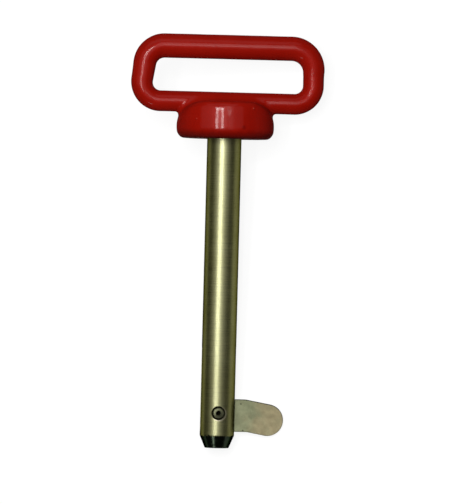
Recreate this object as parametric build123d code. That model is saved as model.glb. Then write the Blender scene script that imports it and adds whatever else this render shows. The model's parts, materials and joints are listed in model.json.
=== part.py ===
from build123d import *
from math import asin, atan2, cos, degrees, hypot, radians, sin, sqrt, tan
import os

# Hitch pin with a loop handle and a drop flag, in millimetres.
#
# The pin drops through the holes of a drawbar and a clevis. A flag of sheet steel
# swings on a cross pin in a slot near the tip. Folded up it hides in the slot, and
# the pin slides through the holes. Let go, it drops across the shank and locks it.
#
# Each piece is drawn in the pin's own frame: origin at the middle of the collar's
# underside, Z up the shank's axis to the loop, X towards the flag's tip, Y to the
# back. All the pieces are then laid down together, as the pin rests on a flat floor.

# ---- shank: a turned and plated bar ---------------------------------------------
shank_diameter = 19.05
shank_length = 170.9  # from the collar's underside to the tip
tip_diameter = 13.2
tip_taper = 6.9  # length of the lead-in cone
taper_round = 1.2  # where the shank turns into the cone
tip_round = 0.6
socket_depth = 16.0  # how far the shank is pressed into the collar
top_chamfer = 1.0

# ---- collar: the round boss that stops on the drawbar ----------------------------
collar_diameter = 54.0
collar_height = 20.2
collar_shift = 0.3  # the boss sits this far off the shank's axis, towards the flag
collar_under_round = 3.8
crown_fall = 15.0  # width over which the crown falls away, on the left and on the right
crown_fall_radius = 18.0  # radius of that arc
crown_round = 3.0  # between the crown and the wall

# ---- loop: the hand hold, one forging with the collar ----------------------------
opening_width = 84.6  # along the lower bar
opening_height = 18.6
opening_shift = 0.6  # the opening's middle, off the shank's axis
top_bar_diameter = 13.1
low_bar_diameter = 11.6
left_end_diameter = 12.4
right_end_diameter = 11.7
low_bar_underside = 14.3  # above the collar's underside
right_top_bend = 12.4  # bend radii on the bar's centreline
left_top_bend = 11.1
low_bend = 10.4
left_end_lean = 7.6  # degrees that the left end leans in towards the top
bar_to_collar_fillet = 3.0

# ---- cross pin: a solid pin, its ends drilled so that they can be flared ----------
pivot_diameter = 6.0
pivot_drill_diameter = 2.8
pivot_drill_depth = 2.6
pivot_drill_point = 118.0  # degrees, of the cone that the drill leaves
pivot_to_tip = 19.4  # from the cross pin's axis to the shank's tip
pivot_sunk = 0.4  # each end stops this far below the shank's surface
pivot_end_chamfer = 0.3
counterbore_diameter = 7.8
counterbore_depth = 1.6  # from the crest of the shank

# ---- flag: blanked from sheet, its tongue drooping a little ----------------------
flag_thickness = 2.5
flag_upper_edge = 7.7  # straight edges at the root, above and below the cross pin
flag_lower_edge = 10.3
flag_upper_bend = 15.5  # where each edge turns down, out from the cross pin
flag_lower_bend = 16.5
flag_bend_round = 5.0
flag_tip_radius = 8.8
flag_tip_reach = 27.6  # the tip arc's centre, out from the cross pin
flag_tip_drop = 3.4  # and below it
flag_foot_start = 7.6  # where the edge that sits on the slot's floor begins
flag_edge_break = 0.4

# ---- running room ----------------------------------------------------------------
pivot_clearance = 0.08  # radial, between the flag's hole and the cross pin
tail_clearance = 0.35  # between the flag's tail and the shank's surface
slot_side_clearance = 0.3
slot_end_clearance = 0.6  # between the folded flag's tip and the slot's end

shank_radius = shank_diameter / 2
collar_radius = collar_diameter / 2
pivot_height = pivot_to_tip - shank_length
slot_width = flag_thickness + 2 * slot_side_clearance
slot_floor = pivot_height - flag_lower_edge
flag_reach = hypot(flag_tip_reach, flag_tip_drop) + flag_tip_radius
slot_end = pivot_height + flag_reach + slot_end_clearance
tail_radius = sqrt(shank_radius**2 - (flag_thickness / 2) ** 2) - tail_clearance


def bar_section(path, place, diameter):
    """A round section of the loop's bar, square to its centreline."""
    return Plane(origin=path @ place, z_dir=path % place) * Circle(diameter / 2)


def loop_side(low, high, low_x, high_x, end_diameter, top_bend):
    """One side of the loop: straight low bar, bend, upright end, bend, straight top bar."""
    centreline = FilletPolyline(
        (0, 0, low), (low_x, 0, low), (high_x, 0, high), (0, 0, high), radius=[low_bend, top_bend]
    )
    low_run, *turns, top_run = centreline.edges()
    end_path = Wire(turns)
    end_sections = [
        bar_section(end_path, 0, low_bar_diameter),
        bar_section(end_path, 0.5, end_diameter),
        bar_section(end_path, 1, top_bar_diameter),
    ]
    low_bar = sweep(bar_section(low_run, 0, low_bar_diameter), path=low_run)
    top_bar = sweep(bar_section(top_run, 0, top_bar_diameter), path=top_run)
    return low_bar + sweep(end_sections, path=end_path, multisection=True) + top_bar


def loop():
    """The hand hold: a bar bent round a long opening, its left end leaning in."""
    low = low_bar_underside + low_bar_diameter / 2
    high = low_bar_underside + low_bar_diameter + opening_height + top_bar_diameter / 2
    right = opening_shift + opening_width / 2 + right_end_diameter / 2
    left = opening_shift - opening_width / 2 - left_end_diameter / 2
    left_top = left + (high - low) * tan(radians(left_end_lean))
    right_side = loop_side(low, high, right, right, right_end_diameter, right_top_bend)
    left_side = loop_side(low, high, left, left_top, left_end_diameter, left_top_bend)
    return right_side + left_side


def on_crown_rim(edge):
    """Whether an edge lies on the collar's wall, where the crown ends."""
    middle = edge @ 0.5
    on_wall = abs(hypot(middle.X, middle.Y) - collar_radius) < 1e-3
    return on_wall and middle.Z > collar_under_round + 1e-3 and edge.geom_type != GeomType.LINE


def collar():
    """The boss: a round wall, rounded underneath, whose crown falls away to the left and right."""
    level = Line((0, collar_height), (collar_radius - crown_fall, collar_height))
    fall = degrees(asin(crown_fall / crown_fall_radius))
    shoulder = JernArc(level @ 1, (1, 0), crown_fall_radius, -fall)
    side = Polyline(shoulder @ 1, (collar_radius, 0), (0, 0), level @ 0)
    half_front = make_face([level, shoulder, *side.edges()])
    front = Plane.XZ * (half_front + mirror(half_front, Plane.YZ))

    boss = Cylinder(collar_radius, collar_height, align=(Align.CENTER, Align.CENTER, Align.MIN))
    boss &= extrude(front, collar_radius, both=True)
    under_rim = boss.faces().sort_by(Axis.Z)[0].edges()
    boss = fillet(under_rim, collar_under_round)
    crown_rim = boss.edges().filter_by(on_crown_rim)
    return Pos(X=collar_shift) * fillet(crown_rim, crown_round)


def handle():
    """Loop and collar as one forging, blended where the low bar runs into the collar."""
    bar, boss = loop(), collar()
    forging = bar + boss
    forging = fillet(new_edges(bar, boss, combined=forging), bar_to_collar_fillet)
    socket = Cylinder(shank_radius, socket_depth, align=(Align.CENTER, Align.CENTER, Align.MIN))
    return forging - socket


def shank():
    """The turned bar, with its slot for the flag and its counterbored cross hole."""
    taper_top = tip_taper - shank_length
    outline = Polyline(
        (0, socket_depth),
        (shank_radius - top_chamfer, socket_depth),
        (shank_radius, socket_depth - top_chamfer),
        (shank_radius, taper_top),
        (tip_diameter / 2, -shank_length),
        (0, -shank_length),
        close=True,
    )
    half = make_face(Plane.XZ * outline)
    rounded = {taper_top: taper_round, -shank_length: tip_round}
    for height, size in rounded.items():
        corner = half.vertices().filter_by(lambda v: abs(v.Z - height) < 1e-6 and v.X > 0.1)
        half = fillet(corner, size)
    bar = revolve(half, Axis.Z)

    slot_height = slot_end - slot_floor
    slot = Pos(Z=slot_floor) * Box(
        2 * shank_diameter, slot_width, slot_height, align=(Align.CENTER, Align.CENTER, Align.MIN)
    )
    slot = fillet(slot.edges().filter_by(Axis.X).group_by(Axis.Z)[-1], slot_width / 2 - 0.01)

    cross = Pos(Z=pivot_height) * Rot(X=90)
    cross_hole = cross * Cylinder(pivot_diameter / 2, shank_diameter)
    seat_length = 2 * (shank_radius - counterbore_depth)
    mouths = cross * (
        Cylinder(counterbore_diameter / 2, 2 * shank_diameter)
        - Cylinder(counterbore_diameter / 2, seat_length)
    )
    return bar - slot - cross_hole - mouths


def pivot_pin():
    """The cross pin: solid, chamfered, with a drilled hole in the middle of each end."""
    half_length = shank_radius - pivot_sunk
    pin = Cylinder(pivot_diameter / 2, 2 * half_length)
    pin = chamfer(pin.edges().filter_by(GeomType.CIRCLE), pivot_end_chamfer)
    drill_radius = pivot_drill_diameter / 2
    point_height = drill_radius / tan(radians(pivot_drill_point / 2))
    on_floor = (Align.CENTER, Align.CENTER, Align.MIN)
    drill = Cylinder(drill_radius, shank_radius, align=on_floor)
    drill += Pos(Z=-point_height) * Cone(0, drill_radius, point_height, align=on_floor)
    drill = Pos(Z=half_length - pivot_drill_depth) * drill
    pin = pin - drill - Rot(X=180) * drill
    return Pos(Z=pivot_height) * Rot(X=90) * pin


def touching_point(start, centre, radius, side):
    """Where a line from start touches a circle, passing to the left (1) or right (-1) of its centre."""
    across = centre - start
    heading = atan2(across.Y, across.X) + side * asin(radius / across.length)
    run = sqrt(across.length**2 - radius**2)
    return start + Vector(cos(heading), sin(heading)) * run


def lock_flag():
    """The flag, drawn about the cross pin: round tail, straight root and drooping tongue."""
    hinge = Vector(0, 0)
    tip = Vector(flag_tip_reach, -flag_tip_drop)
    upper_start = Vector(-sqrt(tail_radius**2 - flag_upper_edge**2), flag_upper_edge)
    upper_bend = Vector(flag_upper_bend, flag_upper_edge)
    lower_bend = Vector(flag_lower_bend, -flag_lower_edge)
    foot = Vector(flag_foot_start, -flag_lower_edge)
    tip_top = touching_point(upper_bend, tip, flag_tip_radius, 1)
    tip_bottom = touching_point(lower_bend, tip, flag_tip_radius, -1)
    tail_bottom = touching_point(foot, hinge, tail_radius, 1)

    outline = Curve(
        [
            *Polyline(upper_start, upper_bend, tip_top).edges(),
            ThreePointArc(tip_top, tip + Vector(flag_tip_radius, 0), tip_bottom),
            *Polyline(tip_bottom, lower_bend, foot, tail_bottom).edges(),
            ThreePointArc(tail_bottom, Vector(-tail_radius, 0), upper_start),
        ]
    )
    blank = make_face(outline)
    corners = (upper_bend, lower_bend)
    bends = [v for v in blank.vertices() if min((Vector(v) - p).length for p in corners) < 1e-6]
    blank = fillet(bends, flag_bend_round)
    plate = extrude(blank, flag_thickness / 2, both=True)
    plate = chamfer(plate.faces().filter_by(Axis.Z).edges(), flag_edge_break)
    plate -= Cylinder(pivot_diameter / 2 + pivot_clearance, 2 * flag_thickness)
    return Pos(Z=pivot_height) * Rot(X=90) * plate


def resting_slope_and_roll():
    """Angles of the pin on the floor, in radians: how far the tip drops, and the roll to the flag.

    The collar's lower rounding, the rounding at the shank's taper and the flag's tip all
    touch the floor. Each gives the pin's origin a height, and the three are the same.
    """
    taper_angle = atan2(shank_radius - tip_diameter / 2, tip_taper)
    round_centre = shank_length - tip_taper - taper_round * tan(taper_angle / 2)
    tip_centre = flag_tip_drop - pivot_height
    slope, roll = 0.0, 0.0
    for _ in range(60):
        step = collar_radius - collar_under_round + collar_shift * sin(roll) - shank_radius + taper_round
        run = round_centre + collar_under_round
        slope = atan2(step, run) + asin((collar_under_round - taper_round) / hypot(step, run))
        height = (shank_radius - taper_round) * cos(slope) + round_centre * sin(slope) + taper_round
        tip_edge = (flag_tip_radius - flag_edge_break) * hypot(cos(slope) * sin(roll), sin(slope))
        flag_face = flag_thickness / 2 * cos(slope) * cos(roll)
        left_over = height - tip_centre * sin(slope) - tip_edge - flag_face
        roll = asin(left_over / (flag_tip_reach * cos(slope)))
    return slope, roll


def laid_down(pieces):
    """The pieces as they come to rest, the front face up, centred over the origin on the floor."""
    slope, roll = resting_slope_and_roll()
    turn = Rot(X=degrees(slope) - 90) * Rot(Z=degrees(roll))
    turned = {name: turn * piece for name, piece in pieces.items()}
    box = Compound(children=[Part() + piece for piece in turned.values()]).bounding_box()
    to_floor = Pos(-box.center().X, -box.center().Y, -box.min.Z)
    return {name: to_floor * piece for name, piece in turned.items()}, to_floor * turn


pieces = {
    "handle": handle(),
    "shank": shank(),
    "pivot_pin": pivot_pin(),
    "lock_flag": lock_flag(),
}
laid_pieces, pin_frame = laid_down(pieces)

os.makedirs("parts", exist_ok=True)
for name, piece in laid_pieces.items():
    export_step(piece, f"parts/{name}.step")
    print(f"{name}: {piece.volume / 1000:.2f} cm3, {len(piece.faces())} faces")
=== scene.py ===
import json
import math

import bpy
import numpy as np
from mathutils import Matrix, Vector


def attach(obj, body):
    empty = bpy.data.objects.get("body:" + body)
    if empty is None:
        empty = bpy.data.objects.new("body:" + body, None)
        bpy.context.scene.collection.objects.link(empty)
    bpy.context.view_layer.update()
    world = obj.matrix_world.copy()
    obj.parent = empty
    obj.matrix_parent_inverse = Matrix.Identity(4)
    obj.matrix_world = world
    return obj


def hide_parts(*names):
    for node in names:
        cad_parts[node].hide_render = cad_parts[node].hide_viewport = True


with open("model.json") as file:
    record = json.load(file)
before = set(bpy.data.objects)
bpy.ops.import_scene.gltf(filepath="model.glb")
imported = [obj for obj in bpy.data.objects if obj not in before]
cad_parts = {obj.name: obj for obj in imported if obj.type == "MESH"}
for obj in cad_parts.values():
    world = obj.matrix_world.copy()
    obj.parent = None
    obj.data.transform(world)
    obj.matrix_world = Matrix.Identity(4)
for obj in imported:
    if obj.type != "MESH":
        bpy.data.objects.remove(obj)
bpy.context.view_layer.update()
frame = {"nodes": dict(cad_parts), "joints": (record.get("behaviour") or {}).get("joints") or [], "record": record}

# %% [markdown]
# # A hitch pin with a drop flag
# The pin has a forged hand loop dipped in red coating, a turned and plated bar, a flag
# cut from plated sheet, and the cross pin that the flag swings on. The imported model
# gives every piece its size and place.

scene = bpy.context.scene
scene.view_settings.view_transform = "Standard"

# %% [markdown]
# ## The pin's own directions
# The pin lies on the floor, rolled onto its flag, so its axis and its face point along
# no world axis. Measuring every place by hand in the world would be slow and would
# break when the model changes. The record already holds what is needed: the shank
# mount lies on the axis, and the hinge line points out of the face. So places on the
# pin are given as millimetres across, in depth and up from the collar's underside.

# %% Across, back and up, worked out from the record
MM = 0.001
shank_mount = next(m for m in frame["record"]["mounts"] if m["name"] == "shank")
shank_radius = shank_mount["dims"]["r_mm"]
usable_length = shank_mount["dims"]["length_mm"]

up = -Vector(shank_mount["axis"]).normalized()
face = Vector(frame["joints"][0]["axis"]).normalized()
across = up.cross(face)
collar_underside = Vector(shank_mount["pos_m"]) + up * usable_length / 2 * MM

pin_turn = Matrix((across, -face, up)).transposed()
print("axis, degrees above the floor:", round(math.degrees(math.asin(up.z)), 2))

# %% [markdown]
# ## Small helpers for shaders
# A material is a chain of nodes. Written out in full, each node takes five lines, which
# hides the idea. One helper adds a node, sets its plain values and joins its links. A
# few more stand for the nodes that come up all the time: a step of arithmetic, a value
# moved to another range, two colours mixed, and a bump. So each finish below reads like
# a recipe.

# %% Adding a node
def set_inputs(tree, node, sockets):
    """Fills inputs, by name or number, with values or with other nodes' outputs."""
    for name, value in sockets.items():
        if isinstance(value, bpy.types.NodeSocket):
            tree.links.new(value, node.inputs[name])
        else:
            node.inputs[name].default_value = value


def add_node(tree, kind, sockets=None, **settings):
    """Adds a node with its settings, and fills its inputs."""
    node = tree.nodes.new(kind)
    for name, value in settings.items():
        setattr(node, name, value)
    set_inputs(tree, node, sockets or {})
    return node


# %% The nodes that come up all the time
def calculate(tree, operation, *values):
    """One step of arithmetic."""
    inputs = dict(enumerate(values))
    return add_node(tree, "ShaderNodeMath", inputs, operation=operation).outputs[0]


def calculate_vector(tree, operation, *values):
    """One step of arithmetic with vectors, as the node's outputs."""
    inputs = dict(enumerate(values))
    return add_node(tree, "ShaderNodeVectorMath", inputs, operation=operation).outputs


def remap(tree, value, span, results=(0.0, 1.0), smooth=False):
    """Goes from the first result to the second while the value crosses the span."""
    ends = zip(("From Min", "From Max", "To Min", "To Max"), (*span, *results))
    curve = "SMOOTHSTEP" if smooth else "LINEAR"
    inputs = {"Value": value, **dict(ends)}
    return add_node(tree, "ShaderNodeMapRange", inputs, interpolation_type=curve).outputs["Result"]


def mix(tree, share, first, second, kind="RGBA"):
    """The first colour where the share is 0, the second where it is 1. FLOAT mixes values."""
    inputs = {"Factor": share, "A": first, "B": second}
    return add_node(tree, "ShaderNodeMix", inputs, data_type=kind).outputs["Result"]


def add_bump(tree, height, strength, rise, under=None):
    """A normal that leans as if the surface rose by that many millimetres where height is 1."""
    inputs = {"Height": height, "Strength": strength, "Distance": rise * MM}
    if under is not None:
        inputs["Normal"] = under
    return add_node(tree, "ShaderNodeBump", inputs).outputs["Normal"]


# %% Groups, materials and colours
def new_group(name, inputs, output):
    """An empty node group that gives one value. inputs maps a name to its default."""
    tree = bpy.data.node_groups.new(name, "ShaderNodeTree")
    for socket, default in inputs.items():
        kind = "NodeSocketVector" if isinstance(default, tuple) else "NodeSocketFloat"
        tree.interface.new_socket(socket, in_out="INPUT", socket_type=kind).default_value = default
    tree.interface.new_socket(output, in_out="OUTPUT", socket_type="NodeSocketFloat")
    return tree, tree.nodes.new("NodeGroupInput").outputs, tree.nodes.new("NodeGroupOutput")


def use_group(tree, group, place, **values):
    """What a group gives at a place of a material, with the material's own values."""
    inputs = {"Place": place, **values}
    return add_node(tree, "ShaderNodeGroup", inputs, node_tree=group).outputs[0]


def new_material(name):
    """A material with its node tree, its Principled shader, and the place on the pin in metres."""
    material = bpy.data.materials.new(name)
    material.use_nodes = True
    tree = material.node_tree
    coordinates = add_node(tree, "ShaderNodeTexCoord")
    pin_frame = {
        "Vector": coordinates.outputs["Object"],
        "Location": collar_underside,
        "Rotation": pin_turn.to_euler(),
    }
    place = add_node(tree, "ShaderNodeMapping", pin_frame, vector_type="TEXTURE")
    return material, tree, tree.nodes["Principled BSDF"], place.outputs["Vector"]


def colour(red, green, blue):
    """A colour from its 0 to 255 screen values, as a shader's linear numbers."""
    shares = [c / 255 for c in (red, green, blue)]
    return [*(s / 12.92 if s <= 0.04045 else ((s + 0.055) / 1.055) ** 2.4 for s in shares), 1]


# %% [markdown]
# ## Patches: no finish is even
# Plating, dip coating and handled metal all change slowly from place to place. A noise
# texture gives that. Every finish here needs it, at its own size and strength, so it is
# a group: it gives a value that drifts between Low and High over patches of the given
# Size, in millimetres.

# %% The group for patches
nowhere = (0.0, 0.0, 0.0)
usual_noise = (0.32, 0.68)  # most values of a noise lie between these

patches, given, result = new_group(
    "Patches", {"Place": nowhere, "Size": 8.0, "Low": 0.0, "High": 1.0}, "Value"
)
patches_per_metre = calculate(patches, "DIVIDE", 1 / MM, given["Size"])
drift = add_node(
    patches,
    "ShaderNodeTexNoise",
    {"Vector": given["Place"], "Scale": patches_per_metre, "Detail": 3.0, "Roughness": 0.55},
)
spread = remap(patches, drift.outputs["Fac"], usual_noise, (given["Low"], given["High"]))
set_inputs(patches, result, {"Value": spread})
print("group", patches.name, "has", len(patches.nodes), "nodes")


def drifting_colour(tree, place, size, first, second):
    """A colour that drifts between two over patches of that size in millimetres."""
    return mix(tree, use_group(tree, patches, place, Size=size), first, second)


# %% [markdown]
# ## Turning lines: what a lathe leaves
# A turned bar keeps fine grooves round its axis. Real grooves would need millions of
# faces. They are much finer than anything the eye can count, so a noise stretched round
# the axis stands in for them: it changes quickly along the bar and hardly at all round
# it. The cross pin's end is worn in lines too, which run another way. So the group takes
# its direction from outside, as a scale on each axis: the lines follow each other along
# the axis with the largest scale.

# %% The group for turning lines
turning, given, result = new_group(
    "Turning lines", {"Place": nowhere, "Stretch": (60.0, 60.0, 40000.0)}, "Line"
)
stretched = calculate_vector(turning, "MULTIPLY", given["Place"], given["Stretch"])["Vector"]
lines = add_node(
    turning,
    "ShaderNodeTexNoise",
    {"Vector": stretched, "Scale": 1.0, "Detail": 4.0, "Roughness": 0.5},
)
sharpened = remap(turning, lines.outputs["Fac"], (0.25, 0.75))
set_inputs(turning, result, {"Line": sharpened})
print("group", turning.name, "has", len(turning.nodes), "nodes")

# %% [markdown]
# ## Spots: marks in known places
# A few marks sit at one place each: a pimple in the coating, a thin patch, the grime
# in a drilled hole. Noise can't put a mark where it belongs. So this group measures how
# far a place lies from a centre and gives a mask that is 1 inside a radius and fades to
# 0 over a soft edge. Squash flattens the distance along one direction, so that a mark
# can run right through a piece.

# %% The group for spots
spot, given, result = new_group(
    "Spot",
    {"Place": nowhere, "Centre": nowhere, "Squash": (1.0, 1.0, 1.0), "Radius": 1.0, "Edge": 0.5},
    "Mask",
)
offset = calculate_vector(spot, "SUBTRACT", given["Place"], given["Centre"])["Vector"]
squashed = calculate_vector(spot, "MULTIPLY", offset, given["Squash"])["Vector"]
distance = calculate_vector(spot, "LENGTH", squashed)["Value"]
in_millimetres = calculate(spot, "MULTIPLY", distance, 1 / MM)
outer_radius = calculate(spot, "ADD", given["Radius"], given["Edge"])
fade = remap(spot, in_millimetres, (given["Radius"], outer_radius), (1.0, 0.0), smooth=True)
set_inputs(spot, result, {"Mask": fade})
print("group", spot.name, "has", len(spot.nodes), "nodes")

# %% [markdown]
# ## Red dip coating: its colour and its marks
# The loop and the collar are a forging dipped in red plastic, a deep saturated colour
# that is a little lighter in some places than in others. Paint with flakes or one plain
# diffuse red would both look wrong. The collar's lower rim is darkened with painted shade,
# and its wall has two pimples with painted glints and one thin patch. Painting these by
# hand would need an image. Each is a mask instead, and its own colour is laid over what is there already.

# %% Marks in the coating
collar_radius = 27.0


def on_collar(x, z):
    """A place on the front of the collar's wall, from millimetres, in metres on the pin."""
    return (x * MM, -math.sqrt(collar_radius**2 - x**2) * MM, z * MM)


thin_patch_centre = on_collar(9.1, 6.0)
# Each pimple is a real bump in the normal, and also gets a painted glint in the colour.
pimples = [(on_collar(14.2, 16.7), 0.4), (on_collar(-17.1, 10.3), 0.3)]  # place, radius in mm

# %% The red colour
red_coating, tree, surface, place = new_material("red dip coating")
along_loop, depth, height = add_node(tree, "ShaderNodeSeparateXYZ", {"Vector": place}).outputs

red = drifting_colour(tree, place, 16.0, colour(127, 11, 2), colour(134, 15, 5))
thin_patch = use_group(tree, spot, place, Centre=thin_patch_centre, Radius=0.5, Edge=1.2)
red = mix(tree, thin_patch, red, colour(112, 8, 3))

# Painted shade: the collar's lower rim darkens towards its foot, with a ragged top edge.
rim_shade_ragged = use_group(tree, patches, place, Size=5.0, Low=-0.5 * MM, High=0.5 * MM)
above_rim = calculate(tree, "ADD", height, rim_shade_ragged)
collar_rim_painted_shade = remap(tree, above_rim, (0.5 * MM, 5.2 * MM), (0.6, 0.0))
red = mix(tree, collar_rim_painted_shade, red, colour(30, 3, 2))

# Painted highlights: a pale pink glint over each pimple, laid into the colour.
for centre, radius in pimples:
    pimple_painted_glint = use_group(tree, spot, place, Centre=centre, Radius=radius * 0.6, Edge=radius)
    red = mix(tree, pimple_painted_glint, red, colour(172, 62, 48))
print(red_coating.name, "has a thin patch, a painted shade on its rim and", len(pimples), "pimples")

# %% [markdown]
# ## Red dip coating: its gloss
# The skin is smooth and a little soft. One sharp gloss would make it hard as glass, and
# would turn into a mirror along every outline and rim it with white. So the base has a
# medium gloss, and a coat layer gives the sharper reflection on top. Seen edge on, the
# skin's fine texture scatters: there the base roughens and the coat fades, both by Layer
# Weight's facing value. On the collar's front, where the dip pooled as it hung, the coat
# is fullest. Hands have rubbed it thin at the loop's ends, the right one most, and it is
# taken off at the rim, under the rim's painted shade. Each of these is a share, and the
# shares are multiplied.

# %% The gloss
edge_on = add_node(tree, "ShaderNodeLayerWeight", {"Blend": 0.5}).outputs["Facing"]
medium_gloss = use_group(tree, patches, place, Size=5.0, Low=0.32, High=0.38)
scatter = remap(tree, edge_on, (0.1, 0.6), (0.0, 0.5))
roughness = calculate(tree, "ADD", medium_gloss, scatter)

rubbing_middle = -4 * MM  # left of the bar, so the rubbing reaches further in on the right
aside = calculate(tree, "SUBTRACT", along_loop, rubbing_middle)
from_the_middle = calculate(tree, "ABSOLUTE", aside)
coat = remap(tree, edge_on, (0.06, 0.28), (1.0, 0.0), smooth=True)
coat_shares = {
    "pooled in front": remap(tree, depth, (-12 * MM, -8 * MM), (1.0, 0.9)),
    "rubbed at the ends": remap(tree, from_the_middle, (36 * MM, 52 * MM), (1.0, 0.33)),
    # At the rim the coat is taken off, under the rim's painted shade.
    "dulled under the rim's painted shade": remap(tree, height, (3.5 * MM, 4.5 * MM)),
}
for share in coat_shares.values():
    coat = calculate(tree, "MULTIPLY", coat, share)
print("the coat changes where it is", ", ".join(coat_shares))

# %% [markdown]
# ## Red dip coating: its texture
# Dried plastic has a faint orange peel that makes the highlights waver. It is far too
# fine for geometry, so a bump gives it, and two more bumps raise the pimples.

# %% Orange peel, pimples and the finished red
orange_peel = use_group(tree, patches, place, Size=2.4)
skin = add_bump(tree, orange_peel, strength=0.12, rise=0.1)
for centre, radius in pimples:
    swelling = use_group(tree, spot, place, Centre=centre, Radius=radius * 0.4, Edge=radius * 2.4)
    skin = add_bump(tree, swelling, strength=0.8, rise=0.4, under=skin)

red_finish = {
    "Base Color": red,
    "Metallic": 0.06,
    "Roughness": roughness,
    "IOR": 1.11,
    "Coat Weight": coat,
    "Coat Roughness": 0.1,
    "Coat IOR": 1.22,
    "Normal": skin,
}
set_inputs(tree, surface, red_finish)
print(red_coating.name, "has", len(tree.nodes), "nodes")

# %% [markdown]
# ## Turned and plated bar: its colours
# The shank is turned, then plated with zinc and passivated to a pale olive yellow. The
# tip is coloured a dark olive black, with a ragged edge. Two materials would meet in a
# hard line, so the one material changes over at a height, which a noise makes ragged. The
# gap round the cross pin is darkened with painted shade, and one side of the hole's rim
# gets a painted highlight: a light spot and a smaller dark one over it, a little out of
# centre, leave a bright crescent.

# %% Where the plating ends, and where the cross pin sits
tip_edge_height = -164.1 * MM  # from the collar's underside
tip_edge_ragged = 0.5 * MM
tip_edge_soft = 0.4 * MM
through = (1.0, 0.0, 1.0)  # squashes a spot so that it runs from the face to the back

hinge = pin_turn.transposed() @ (Vector(frame["joints"][0]["pos_m"]) - collar_underside)
print("hinge line, mm on the pin:", [round(c / MM, 2) for c in hinge])


def round_hinge(tree, place, radius, edge, aside=0.0, raised=0.0):
    """A spot round the hinge line, right through the bar, moved by so many millimetres."""
    centre = (hinge.x + aside * MM, hinge.y, hinge.z + raised * MM)
    return use_group(tree, spot, place, Centre=centre, Squash=through, Radius=radius, Edge=edge)


# %% Plating, the dark tip, the rim's painted highlight and the bore's painted shade
plated_bar, tree, surface, place = new_material("turned plated bar")
height = add_node(tree, "ShaderNodeSeparateXYZ", {"Vector": place}).outputs["Z"]
ragged = use_group(tree, patches, place, Size=1.8, Low=-tip_edge_ragged, High=tip_edge_ragged)
edge_height = calculate(tree, "ADD", height, ragged)
edge_span = (tip_edge_height - tip_edge_soft, tip_edge_height + tip_edge_soft)
# Below a ragged line the tip's colour changes over to a dark olive black.
dark_tip = remap(tree, edge_height, edge_span, (1.0, 0.0))

plating = drifting_colour(tree, place, 14.0, colour(110, 109, 67), colour(118, 117, 77))
dark_tip_colour = drifting_colour(tree, place, 1.3, colour(36, 43, 34), colour(49, 56, 46))
metal = mix(tree, dark_tip, plating, dark_tip_colour)
# Painted highlight: a pale crescent on one side of the hole's rim, laid into the colour.
hole_rim_painted_highlight = round_hinge(tree, place, radius=3.9, edge=0.4, aside=0.45, raised=-0.35)
metal = mix(tree, hole_rim_painted_highlight, metal, colour(166, 160, 132))
# Painted shade: the gap round the cross pin is darkened in the colour, and made rough.
bore_painted_shade = round_hinge(tree, place, radius=3.75, edge=0.3)
metal = mix(tree, bore_painted_shade, metal, colour(26, 26, 14))
print("plating ends, mm under the collar:", [round(-h / MM, 1) for h in edge_span])

# %% [markdown]
# ## Turned and plated bar: its shine
# Close up, burnished crests lie beside duller valleys. From a step away the two mix: a
# sharp streak of light sits inside a wide soft glow. One roughness can't give both, so
# the turning lines move between a lower and a higher roughness. The metal's own
# reflection is olive, but the streak is nearly white, because the passivation is a thin
# clear film with a gloss of its own: a coat, which fades edge on. The dark tip has no
# such film, and a lower roughness of its own. A black specular tint keeps the metal dark
# where it is seen edge on.

# %% Turning lines, clear film and the finished bar
line = use_group(tree, turning, place)
burnish = remap(tree, line, (0.3, 0.7), (0.27, 0.54))
dark_tip_roughness = use_group(tree, patches, place, Size=2.0, Low=0.17, High=0.27)
roughness = mix(tree, dark_tip, burnish, dark_tip_roughness, kind="FLOAT")
roughness = mix(tree, bore_painted_shade, roughness, 0.7, kind="FLOAT")

edge_on = add_node(tree, "ShaderNodeLayerWeight", {"Blend": 0.5}).outputs["Facing"]
film = remap(tree, edge_on, (0.02, 0.24), (1.0, 0.0), smooth=True)
for no_film in (dark_tip, bore_painted_shade):
    film = mix(tree, no_film, film, 0.0, kind="FLOAT")

bar_finish = {
    "Base Color": metal,
    "Metallic": 1.0,
    "Specular Tint": (0, 0, 0, 1),
    "Roughness": roughness,
    "Coat Weight": film,
    "Coat Roughness": 0.32,
    "Coat IOR": 1.55,
    "Normal": add_bump(tree, line, strength=0.05, rise=0.02),
}
set_inputs(tree, surface, bar_finish)
print(plated_bar.name, "has", len(tree.nodes), "nodes")

# %% [markdown]
# ## Cross pin
# Its end is dull steel, worn in faint lines and hammered a little domed, and the drilled
# hole in it is darkened with painted shade. A dome this low hardly shows as a form and only
# bends the light, so it is a bump, from the same kind of spot as the painted shade.

# %% The cross pin's steel
cross_pin_steel, tree, surface, place = new_material("cross pin steel")
line = use_group(tree, turning, place, Stretch=(3000.0, 40.0, 40.0))
# Painted shade: the drilled hole in the end is darkened in the colour.
pin_hole_painted_shade = round_hinge(tree, place, radius=0.9, edge=0.9)
dome = round_hinge(tree, place, radius=0.3, edge=3.0)
steel = mix(tree, line, colour(66, 67, 50), colour(78, 79, 61))
cross_pin_finish = {
    "Base Color": mix(tree, pin_hole_painted_shade, steel, colour(18, 18, 8)),
    "Metallic": 1.0,
    "Roughness": remap(tree, pin_hole_painted_shade, (0.0, 1.0), (0.42, 0.85)),
    "Normal": add_bump(tree, dome, strength=1.0, rise=0.28),
}
set_inputs(tree, surface, cross_pin_finish)
print(cross_pin_steel.name, "has", len(tree.nodes), "nodes")

# %% [markdown]
# ## Flag
# The flag is cut from dull plated sheet that has gone blotchy: olive near the root,
# warmer and browner towards the tip, where it is handled most. It has two small dark
# nicks. The sheared edge gets painted shade above and a painted highlight below. The
# edge has no material of its own, so the direction that the surface faces picks it out:
# the flat sides face sideways, and only the edge faces up or down the pin.

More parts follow.
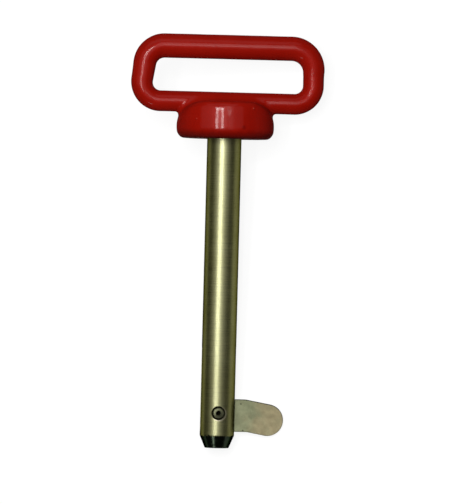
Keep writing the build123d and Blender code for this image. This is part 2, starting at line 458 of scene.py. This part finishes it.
# %% The sheet's tones
nicks = [(14.2, -161.0, 0.15), (12.8, -146.3, 0.1)]  # across, up and radius in millimetres


def scale_colour(tree, tone, share):
    """A colour made darker or lighter by a share."""
    inputs = {0: tone, "Scale": share}
    return add_node(tree, "ShaderNodeVectorMath", inputs, operation="SCALE").outputs["Vector"]


plated_sheet, tree, surface, place = new_material("plated sheet")
reach = add_node(tree, "ShaderNodeSeparateXYZ", {"Vector": place}).outputs["X"]
wander = use_group(tree, patches, place, Size=9.0, Low=-7 * MM, High=7 * MM)
out_there = calculate(tree, "ADD", reach, wander)
handled = remap(tree, out_there, (12 * MM, 34 * MM), smooth=True)
sheet = mix(tree, handled, colour(118, 121, 95), colour(136, 127, 99))
blotch = use_group(tree, patches, place, Size=3.0, Low=0.9, High=1.06)
sheet = scale_colour(tree, sheet, blotch)
for x, z, radius in nicks:
    centre = (x * MM, 0.0, z * MM)
    nick = use_group(tree, spot, place, Centre=centre, Squash=through, Radius=radius, Edge=0.5)
    sheet = mix(tree, nick, sheet, colour(40, 40, 30))
print(plated_sheet.name, "has", len(nicks), "nicks")

# %% The sheared edge and the finished sheet
direction = add_node(tree, "ShaderNodeTexCoord").outputs["Normal"]
facing_up = calculate_vector(tree, "DOT_PRODUCT", direction, tuple(up))["Value"]
# Painted shade on the edge that faces up the pin, painted highlight on the edge that faces down.
edge_painted_shade_above = remap(tree, facing_up, (0.15, 0.5), (1.0, 0.15))
edge_painted_light_below = remap(tree, facing_up, (-0.6, -0.2), (1.3, 1.0))
edge_painted_light_and_shade = calculate(tree, "MULTIPLY", edge_painted_shade_above, edge_painted_light_below)
grain = use_group(tree, patches, place, Size=0.8)
sheet_finish = {
    "Base Color": scale_colour(tree, sheet, edge_painted_light_and_shade),
    "Metallic": 1.0,
    "Roughness": use_group(tree, patches, place, Size=4.0, Low=0.52, High=0.66),
    "Normal": add_bump(tree, grain, strength=0.25, rise=0.05),
}
set_inputs(tree, surface, sheet_finish)
print(plated_sheet.name, "has", len(tree.nodes), "nodes")

# %% [markdown]
# ## The handle: one soft form
# Dip coating fills every corner, so the loop melts into the collar and no edge is
# sharp. The model's handle has the right size but is made of many faces that meet in
# seams, and its reflections break there. Sculpting or subdividing a cage would lose the
# exact size. So the form is written as a distance: a function that says how far any
# point is from the surface. Round joins between two forms are then one line of
# arithmetic. The model's mesh is turned into even squares, and each point is pulled onto
# the surface that the function describes.

# %% Round joins between two distances
def round_join(a, b, radius):
    """Two forms as one, with a hollow blend of that radius where they meet."""
    into = np.hypot(np.maximum(radius - a, 0), np.maximum(radius - b, 0))
    return np.maximum(radius, np.minimum(a, b)) - into


def round_cut(a, b, radius):
    """What two forms share, with the edge between them rounded to that radius."""
    out = np.hypot(np.maximum(radius + a, 0), np.maximum(radius + b, 0))
    return np.minimum(-radius, np.maximum(a, b)) + out


# %% [markdown]
# ## The handle: its loop
# The bar's centreline is a four-sided outline with rounded corners. For each corner the
# code finds where the bend starts and ends. The nearest point on the centreline is then
# the nearest of four straight runs and four bends. The bar is thinnest along the bottom
# and thickest along the top, as the forging is, so its radius follows the height of
# that nearest point.

# %% Sizes of the loop, in millimetres on the pin
low_bar_radius, top_bar_radius = 5.8, 6.8
right_end_radius, left_end_radius = 5.85, 6.2
low_line, top_line = 20.1, 50.75  # heights of the bars' centrelines
top_tilt = 0.07  # the top bar is this much higher at its right end and lower at its left
right_line, left_low_line, left_top_line = 48.6, -47.9, -43.77
low_bend, left_top_bend, right_top_bend = 10.4, 11.1, 12.4
corners = [  # across, up and radius of the bend
    (right_line, low_line, low_bend),
    (right_line, top_line + top_tilt, right_top_bend),
    (left_top_line, top_line - top_tilt, left_top_bend),
    (left_low_line, low_line, low_bend),
]
print("top of the loop, mm over the collar's underside:", top_line + top_tilt + top_bar_radius)


# %% Straight runs and bends
def find_runs_and_bends(corners):
    """Runs as pairs of ends. Bends as centre, radius, the corner's direction and half the turn."""
    bends, tangents = [], []
    for i, (x, z, radius) in enumerate(corners):
        here = np.array((x, z))
        before = np.array(corners[i - 1][:2]) - here
        after = np.array(corners[(i + 1) % len(corners)][:2]) - here
        before, after = before / np.linalg.norm(before), after / np.linalg.norm(after)
        half = math.acos(np.dot(before, after)) / 2
        to_tangent = radius / math.tan(half)
        tangents.append((here + before * to_tangent, here + after * to_tangent))
        middle = (before + after) / np.linalg.norm(before + after)
        centre = here + middle * radius / math.sin(half)
        bends.append((centre, radius, -middle, math.pi / 2 - half))
    runs = [(tangents[i][1], tangents[(i + 1) % len(corners)][0]) for i in range(len(corners))]
    return runs, bends


runs, bends = find_runs_and_bends(corners)
print("runs, mm long:", [round(float(np.linalg.norm(end - start)), 1) for start, end in runs])


# %% How far a point is from the loop
tiny = 1e-9  # keeps a division from meeting zero


def nearest_on_centreline(x, z):
    """How far the centreline is, and how high its nearest point lies."""
    nearest, height = np.full(x.shape, np.inf), np.zeros(x.shape)
    for start, end in runs:
        along = end - start
        share = ((x - start[0]) * along[0] + (z - start[1]) * along[1]) / np.dot(along, along)
        share = np.clip(share, 0, 1)
        away = np.hypot(x - start[0] - share * along[0], z - start[1] - share * along[1])
        height = np.where(away < nearest, start[1] + share * along[1], height)
        nearest = np.minimum(nearest, away)
    for centre, radius, outwards, half_turn in bends:
        dx, dz = x - centre[0], z - centre[1]
        span = np.maximum(np.hypot(dx, dz), tiny)
        within = (dx * outwards[0] + dz * outwards[1]) / span > math.cos(half_turn)
        away = np.where(within, np.abs(span - radius), np.inf)
        height = np.where(away < nearest, centre[1] + radius * dz / span, height)
        nearest = np.minimum(nearest, away)
    return nearest, height


def loop_form(x, y, z):
    """Distance from the loop's surface. The bar thickens up to half height, then to the top."""
    nearest, height = nearest_on_centreline(x, z)
    climb = 2 * np.interp(height, (low_line, top_line), (0, 1))
    end_radius = np.where(x > 0, right_end_radius, left_end_radius)
    radius_here = low_bar_radius + (end_radius - low_bar_radius) * np.clip(climb, 0, 1)
    radius_here += (top_bar_radius - end_radius) * np.clip(climb - 1, 0, 1)
    return np.hypot(nearest, y) - radius_here


# %% [markdown]
# ## The handle: its collar
# The collar is a round wall under a crown that is level in the middle and falls away to
# both sides. The wall is barrelled: it leans in a little towards its top and its foot.
# A turned profile can't give a crown that falls to two sides only. As distances, wall,
# crown and underside are three simple forms that are cut by each other, with rounded
# edges.

# %% Sizes of the collar, in millimetres on the pin
collar_height = 20.2
collar_shift = 0.3  # the collar's middle lies this far right of the bar's axis
collar_under_round, crown_round = 3.8, 3.0
crown_level_half, crown_fall_radius = 12.0, 18.0
steepest_fall = 0.98  # of the radius that the crown falls with, so that it never turns vertical
lean_top_start, lean_foot_start = 12.0, 6.2  # heights where the wall begins to lean in
lean_top_rate, lean_foot_rate = 0.015, 0.035
lean_most = 0.6
socket_depth = 16.0


# %% How far a point is from the collar and from its socket
def collar_form(x, y, z):
    """Distance from the collar's surface."""
    x = x - collar_shift
    top_lean = lean_top_rate * np.maximum(z - lean_top_start, 0) ** 2
    foot_lean = lean_foot_rate * np.maximum(lean_foot_start - z, 0) ** 2
    wall = np.hypot(x, y) - collar_radius + np.minimum(top_lean + foot_lean, lean_most)
    past_level = np.clip(np.abs(x) - crown_level_half, 0, crown_fall_radius * steepest_fall)
    fall = np.sqrt(crown_fall_radius**2 - past_level**2)
    crown = (z - collar_height + crown_fall_radius - fall) * fall / crown_fall_radius
    body = round_cut(wall, -z, collar_under_round)
    return round_cut(body, crown, crown_round)


def socket_form(x, y, z):
    """Distance from the hole that the bar is pressed into."""
    return np.maximum(np.hypot(x, y) - shank_radius, z - socket_depth)


# %% [markdown]
# ## The handle: its skin
# The coating lies over loop and collar as one skin and rounds the crease between them.
# It dried while it hung, so it is never quite even. A bump in the material could show
# that, but it would be lost when the mesh is used alone. So slow and quick waves, up to
# two hundredths of a millimetre high, go into the form. The skin lies a little inside
# the sizes above, so that its waves don't leave the model's box.

# %% The whole handle
blend_round = 3.4
coating_shrink = 0.06  # the dried skin lies this far inside the sizes of loop and collar
slow_wave_height, quick_wave_height = 0.018, 0.005


def skin_waves(x, y, z):
    """How far the skin's waves move it in or out. They are about 15 and about 5 mm long."""
    slow = np.sin(0.31 * x + 0.23 * z + 1.0) * np.sin(0.27 * y - 0.35 * z)
    quick = np.sin(1.1 * x - 0.7 * y + 0.4) * np.sin(1.3 * z + 0.5 * x)
    return slow_wave_height * slow + quick_wave_height * quick


def handle_form(x, y, z):
    """Distance from the handle's surface."""
    forging = round_join(loop_form(x, y, z), collar_form(x, y, z), blend_round)
    coated = forging + coating_shrink + skin_waves(x, y, z)
    return np.maximum(coated, -socket_form(x, y, z))


# %% [markdown]
# ## Pulling a mesh onto the form
# The voxel remesher gives even squares but leaves faint steps, which a glossy surface
# shows. One Newton step moves each point by the form's distance along its slope, and a
# few steps put it on the surface to a thousandth of a millimetre. The slope is measured
# by looking a hair's breadth to each side.

# %% Newton steps
longest_move = 0.4  # of one step, in millimetres
least_steepness = 0.25  # a flatter slope would throw a point too far


def pull_onto(form, points, steps=4, hair=0.01):
    """Moves points, in millimetres, onto the surface where the form is zero."""
    points = points.copy()
    for _ in range(steps):
        distance = form(*points.T)
        slope = np.empty_like(points)
        for axis in range(3):
            shift = np.zeros(3)
            shift[axis] = hair
            slope[:, axis] = (form(*(points + shift).T) - form(*(points - shift).T)) / (2 * hair)
        move = distance / np.maximum((slope**2).sum(1), least_steepness)
        points -= np.clip(move, -longest_move, longest_move)[:, None] * slope
    return points


# %% Even squares from the model's handle
square_size = 0.5 * MM
seam_gap = 0.002 * MM

coated = bpy.data.objects.new("coated_handle", frame["nodes"]["handle"].data.copy())
scene.collection.objects.link(coated)
coated.modifiers.new("sew the faces", "WELD").merge_threshold = seam_gap
squares = coated.modifiers.new("even squares", "REMESH")
squares.mode, squares.voxel_size = "VOXEL", square_size
evaluated = coated.evaluated_get(bpy.context.evaluated_depsgraph_get())
even_mesh = bpy.data.meshes.new_from_object(evaluated)
coated.modifiers.clear()
coated.data = even_mesh
print("handle:", len(even_mesh.polygons), "squares")

# %% The coated handle
flat_list = np.empty(len(even_mesh.vertices) * 3, np.float32)
even_mesh.vertices.foreach_get("co", flat_list)
turn, origin = np.array(pin_turn), np.array(collar_underside)
on_the_pin = (flat_list.reshape(-1, 3).astype(float) - origin) @ turn / MM
on_the_pin = pull_onto(handle_form, on_the_pin)
in_the_frame = on_the_pin @ turn.T * MM + origin
even_mesh.vertices.foreach_set("co", in_the_frame.astype(np.float32).ravel())
even_mesh.polygons.foreach_set("use_smooth", np.ones(len(even_mesh.polygons), bool))
even_mesh.update()
left_over = np.abs(handle_form(*on_the_pin.T))
print("furthest from the form, mm:", round(left_over.max(), 3))

even_mesh.materials.clear()
even_mesh.materials.append(red_coating)
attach(coated, "pin")
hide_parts("handle")

# %% [markdown]
# ## Dressing the steel pieces
# The bar, the cross pin and the flag already have their true shape, and new meshes would
# gain nothing. So they keep theirs and get a finish in its material slot.

# %% Finishes on the steel pieces
finishes = {"shank": plated_bar, "pivot_pin": cross_pin_steel, "lock_flag": plated_sheet}
for name, material in finishes.items():
    frame["nodes"][name].data.materials[0] = material
    print(name, "has", material.name)

# %% [markdown]
# ## Floor and sky
# The floor is plain white and still takes the pin's shadow. A floor that is only lit
# would come out grey or uneven. So it is dark by itself and glows, but only for the
# camera, in reflections and through glass. The sky is dim, because the lamps do the work.

# %% The floor
floor_half = 3.0
floor_mesh = bpy.data.meshes.new("floor")
corner_signs = ((-1, -1), (1, -1), (1, 1), (-1, 1))
floor_corners = [(sx * floor_half, sy * floor_half, 0) for sx, sy in corner_signs]
floor_mesh.from_pydata(floor_corners, [], [(0, 1, 2, 3)])
floor = bpy.data.objects.new("floor", floor_mesh)
scene.collection.objects.link(floor)
print("floor, m wide:", 2 * floor_half)

# %% The floor's white
floor_glow = 0.9

white_floor = bpy.data.materials.new("white floor")
white_floor.use_nodes = True
tree = white_floor.node_tree
ray = add_node(tree, "ShaderNodeLightPath").outputs
seen = calculate(tree, "MAXIMUM", ray["Is Camera Ray"], ray["Is Glossy Ray"])
seen = calculate(tree, "MAXIMUM", seen, ray["Is Transmission Ray"])
floor_finish = {
    "Base Color": (0.1, 0.1, 0.1, 1),
    "Roughness": 0.9,
    "Specular IOR Level": 0.1,
    "Emission Color": (1, 1, 1, 1),
    "Emission Strength": calculate(tree, "MULTIPLY", seen, floor_glow),
}
set_inputs(tree, tree.nodes["Principled BSDF"], floor_finish)
floor_mesh.materials.append(white_floor)
print(white_floor.name, "glows at", floor_glow)

# %% The sky
sky = bpy.data.worlds.new("dim sky")
sky.use_nodes = True
sky_light = {"Color": (1, 1, 1, 1), "Strength": 0.05}
set_inputs(sky.node_tree, sky.node_tree.nodes["Background"], sky_light)
scene.world = sky
print(sky.name, "at", sky_light["Strength"])

# %% [markdown]
# ## Camera
# The camera looks nearly square on to the pin's face, from a little to its left, and is
# leaned so that the pin stands almost upright in view. It stands far off with a long
# lens, because a short lens from close by would swell whatever is nearest to it.

# %% Camera, nearly square on to the pin's face
view_height = 278.7 * MM  # what the camera sees from bottom to top, at the pin
lean = math.radians(1.466)
turned = math.radians(3.8)  # the camera stands this far round to the left of the pin's face
camera_distance = 3.2
sensor_width = 36.0


def on_pin(x, y, z):
    """A point of the pin in millimetres: across to the flag's side, back, and up to the loop."""
    return collar_underside + pin_turn @ Vector((x, y, z)) * MM


centre_of_view = on_pin(7.2, 0, -62.4)
view = face * math.cos(turned) - across * math.sin(turned)
sideways = across * math.cos(turned) + face * math.sin(turned)
image_up = (up * math.cos(lean) - sideways * math.sin(lean)).normalized()
image_right = image_up.cross(view)
camera_turn = Matrix((image_right, image_up, view)).transposed().to_4x4()

camera_data = bpy.data.cameras.new("camera")
camera_data.sensor_width = sensor_width
camera_data.lens = sensor_width * camera_distance / view_height
camera_data.clip_start = 0.1
camera = bpy.data.objects.new("camera", camera_data)
scene.collection.objects.link(camera)
camera.matrix_world = Matrix.Translation(centre_of_view + view * camera_distance) @ camera_turn
scene.camera = camera
print("lens, mm:", round(camera_data.lens, 1))

# %% [markdown]
# ## Light
# One window-like soft light stands a little left of the camera: two bright strips with
# a dimmer middle and a bright rail across their top, which gives a smooth round form
# its long light lines. One plain panel would give one broad line with no edges inside.
# A smaller light to the right of the camera does the same for the top bar. Wide dim
# panels on both sides and overhead keep the far sides readable, and one light from
# below puts a streak on the tip's taper.

# %% The soft lights
lamp_distance = 1.5
lit_point = on_pin(0, 0, 10)
soft_lights = {  # degrees left of the camera, degrees above it, degrees wide and tall, brightness
    "left strip": (19.6, 4.5, 5.0, 23.0, 29.0),
    "right strip": (6.7, 4.5, 5.0, 23.0, 29.0),
    "top rail": (13.1, 15.3, 18.0, 4.5, 24.0),
    "dim middle": (13.2, 6.0, 8.0, 26.0, 3.2),
    "inner fill": (-1.0, 4.0, 6.0, 20.0, 1.5),
    "bar light": (-9.0, 8.0, 10.0, 12.0, 4.6),
    "high light": (-6.0, 22.0, 16.0, 14.0, 2.6),
    "near fill": (-13.0, 8.0, 13.0, 34.0, 1.1),
    "side fill": (-31.0, 12.0, 24.0, 36.0, 0.5),
    "far fill": (43.0, 12.0, 33.0, 36.0, 0.6),
    "ceiling": (10.0, 55.0, 60.0, 30.0, 0.9),
    "low light": (33.0, -51.0, 6.5, 10.0, 9.5),
}


def panel_side(degrees):
    """The side of a panel that looks so many degrees wide from the pin."""
    return 2 * lamp_distance * math.tan(math.radians(degrees / 2))


for name, (left, raised, wide, tall, brightness) in soft_lights.items():
    panel = bpy.data.lights.new(name, "AREA")
    panel.shape = "RECTANGLE"
    panel.size, panel.size_y = panel_side(wide), panel_side(tall)
    panel.energy = brightness * math.pi * panel.size * panel.size_y  # so a big one isn't dimmer
    out = view * math.cos(math.radians(left)) - image_right * math.sin(math.radians(left))
    out = out * math.cos(math.radians(raised)) + image_up * math.sin(math.radians(raised))
    side = image_up.cross(out).normalized()
    panel_turn = Matrix((side, out.cross(side), out)).transposed().to_4x4()
    lamp = bpy.data.objects.new(name, panel)
    lamp.matrix_world = Matrix.Translation(lit_point + out * lamp_distance) @ panel_turn
    scene.collection.objects.link(lamp)
print(len(soft_lights), "soft lights")
